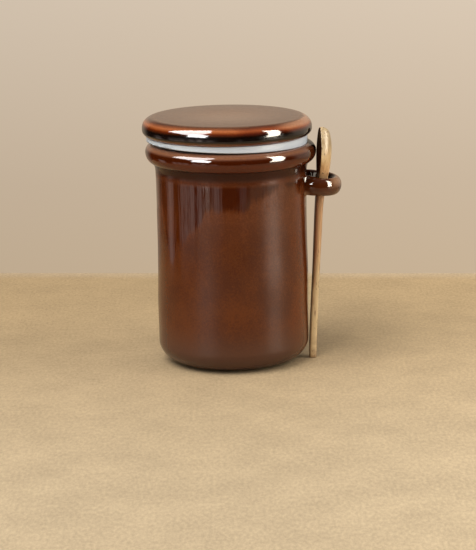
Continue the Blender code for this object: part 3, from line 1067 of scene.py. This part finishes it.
def softbox(name, place, across, up, size, power, gloss, colour=(1.0, 1.0, 1.0)):
    # it shines against the direction of across x up
    bpy.ops.object.select_all(action="DESELECT")
    bpy.ops.object.light_add(type="AREA", location=place)
    lamp = bpy.context.object
    lamp.name = name
    lamp.data.shape = "RECTANGLE"
    lamp.data.size, lamp.data.size_y = size
    lamp.data.energy = power
    lamp.data.color = colour
    across = Vector(across).normalized()
    away = across.cross(Vector(up)).normalized()
    turned = Matrix((across, away.cross(across), away)).transposed()
    lamp.rotation_euler = turned.to_euler()
    lamp.visible_camera = False
    lamp.visible_glossy = gloss
    lamp.visible_diffuse = not gloss
    lamp.data.cycles.use_multiple_importance_sampling = gloss  # a soft one must not hide a shiny one


# the room round the table: colours go from the bottom of a span of heights to its top
worldSet = {
    # the plain warm wall that the eye sees
    "seenSpan": (-0.222, -0.100),
    "seen": [(0.0, (0.545, 0.420, 0.287)), (0.35, (0.565, 0.447, 0.325)), (1.0, (0.665, 0.552, 0.432))],
    "seenAcross": (-0.11, 0.11),
    "seenTone": [(0.0, (0.95, 0.95, 0.95)), (1.0, (1.06, 1.06, 1.06))],
    # what the gloss sees: the wall behind, a dim room in front, a soft ceiling
    "roomSpan": (-0.25, 0.95),
    "behind": [
        (0.0, (0.42, 0.32, 0.22)),
        (0.30, (0.56, 0.46, 0.355)),
        (0.43, (0.53, 0.445, 0.35)),
        (0.475, (0.44, 0.37, 0.30)),
        (0.51, (0.28, 0.25, 0.21)),
        (0.60, (0.15, 0.14, 0.13)),
        (1.0, (0.24, 0.23, 0.22)),
    ],
    "infront": [
        (0.0, (0.010, 0.009, 0.010)),
        (0.45, (0.012, 0.011, 0.010)),
        (0.70, (0.10, 0.095, 0.09)),
        (1.0, (0.26, 0.24, 0.22)),
    ],
    # the wall starts this far round from the front, in degrees, skewed to one side
    "wallSkew": 23.0,
    "wallFrom": 111,
    "wallTo": 127,
    # a paler stretch of the wall on the right
    "pane": (0.30, 0.26, 0.22),
    "paneRound": (94, 104, 142, 158),
    "paneHigh": (-0.27, -0.15, 0.40, 0.62),
    # pale upright strips low in the dark room: degrees from the front, half width and strength
    "strips": [
        (-107.5, 6.5, 1.10),
        (-82.0, 3.2, 1.40),
        (-73.5, 3.2, 1.55),
        (-63.5, 4.2, 1.80),
        (-49.0, 3.8, 2.10),
        (-37.5, 2.6, 5.50),
        (-23.0, 5.2, 1.70),
        (17.0, 3.2, 0.85),
    ],
    "stripColour": (0.95, 0.75, 0.67),
    "stripBelow": (-0.150, -0.170),
    # an even dome lights what isn't glossy
    "domeSpan": (-0.05, 0.25),
    "dome": [(0.0, (0.30, 0.25, 0.19)), (1.0, (0.70, 0.69, 0.67))],
}


def makeWorld(s):
    world = bpy.data.worlds.new("studio")
    bpy.context.scene.world = world
    world.use_nodes = True
    tree = world.node_tree
    tree.nodes.clear()

    def add(kind, **settings):
        made = tree.nodes.new(kind)
        for key, value in settings.items():
            setattr(made, key, value)
        return made

    def ramp(value, stops):
        made = add("ShaderNodeValToRGB")
        tree.links.new(value, made.inputs[0])
        while len(made.color_ramp.elements) < len(stops):
            made.color_ramp.elements.new(0.5)
        for element, (place, colour) in zip(made.color_ramp.elements, stops):
            element.position = place
            element.color = (*colour, 1.0)
        return made.outputs["Color"]

    def spanned(value, low, high):
        made = add("ShaderNodeMapRange")
        tree.links.new(value, made.inputs["Value"])
        made.inputs["From Min"].default_value = low
        made.inputs["From Max"].default_value = high
        return made.outputs["Result"]

    def reckon(operation, a, b=0.0):
        made = add("ShaderNodeMath", operation=operation)
        for socket, value in zip(made.inputs, (a, b)):
            if isinstance(value, bpy.types.NodeSocket):
                tree.links.new(value, socket)
            else:
                socket.default_value = value
        return made.outputs[0]

    def between(value, places):
        start, full, last, end = places
        return reckon("MULTIPLY", spanned(value, start, full), spanned(value, end, last))

    def joined(share, a, b, kind="MIX"):
        made = add("ShaderNodeMix", data_type="RGBA", blend_type=kind)
        if isinstance(share, bpy.types.NodeSocket):
            tree.links.new(share, made.inputs[0])
        else:
            made.inputs[0].default_value = share
        tree.links.new(a, made.inputs[6])
        tree.links.new(b, made.inputs[7])
        return made.outputs[2]

    def brightened(colour, value, tint):
        extra = add("ShaderNodeCombineColor")
        for socket, share in zip(extra.inputs, tint):
            tree.links.new(reckon("MULTIPLY", value, share), socket)
        return joined(1.0, colour, extra.outputs[0], "ADD")

    split = add("ShaderNodeSeparateXYZ")
    tree.links.new(add("ShaderNodeTexCoord").outputs["Generated"], split.inputs[0])
    x, y, z = split.outputs
    seen = ramp(spanned(z, *s["seenSpan"]), s["seen"])
    seen = joined(1.0, seen, ramp(spanned(x, *s["seenAcross"]), s["seenTone"]), "MULTIPLY")
    behind = ramp(spanned(z, *s["roomSpan"]), s["behind"])
    infront = ramp(spanned(z, *s["roomSpan"]), s["infront"])
    azimuth = reckon("ARCTAN2", x, reckon("MULTIPLY", y, -1.0))
    turned = reckon("ABSOLUTE", reckon("ADD", azimuth, radians(s["wallSkew"])))
    wall = spanned(turned, radians(s["wallFrom"]), radians(s["wallTo"]))
    studio = joined(wall, infront, behind)
    pane = between(azimuth, [radians(angle) for angle in s["paneRound"]])
    pane = reckon("MULTIPLY", pane, between(z, s["paneHigh"]))
    studio = brightened(studio, pane, s["pane"])
    strips = 0.0
    for middle, half, power in s["strips"]:
        off = reckon("ABSOLUTE", reckon("SUBTRACT", azimuth, radians(middle)))
        strip = reckon("MULTIPLY", spanned(off, radians(half) * 1.4, radians(half) * 0.6), power)
        strips = reckon("ADD", strips, strip)
    strips = reckon("MULTIPLY", strips, spanned(z, *s["stripBelow"]))
    studio = brightened(studio, strips, s["stripColour"])
    path = add("ShaderNodeLightPath")
    dome = ramp(spanned(z, *s["domeSpan"]), s["dome"])
    colour = joined(path.outputs["Is Diffuse Ray"], studio, dome)
    colour = joined(path.outputs["Is Camera Ray"], colour, seen)
    surface = add("ShaderNodeBackground")
    tree.links.new(colour, surface.inputs["Color"])
    result = add("ShaderNodeOutputWorld")
    tree.links.new(surface.outputs[0], result.inputs[0])


makeTable(tableSet)
for name, settings in lightSet.items():
    softbox(name, **settings)
makeWorld(worldSet)


# camera, a little above the lid and tipped down
cameraSet = {
    "place": (0.003458, -1.5, 0.3949),
    "down": 0.2217,
    "roll": 0.0247,
    "lens": 149.6,
    "sensor": 36,
    "nearest": 0.05,
}


def makeCamera(s):
    bpy.ops.object.select_all(action="DESELECT")
    turned = Matrix.Rotation(pi / 2 - s["down"], 4, "X") @ Matrix.Rotation(-s["roll"], 4, "Z")
    bpy.ops.object.camera_add(location=s["place"], rotation=turned.to_euler())
    camera = bpy.context.object
    camera.data.sensor_width = s["sensor"]
    camera.data.lens = s["lens"]
    camera.data.clip_start = s["nearest"]
    bpy.context.scene.camera = camera


makeCamera(cameraSet)
bpy.context.scene.view_settings.view_transform = "Standard"
print("stage set")
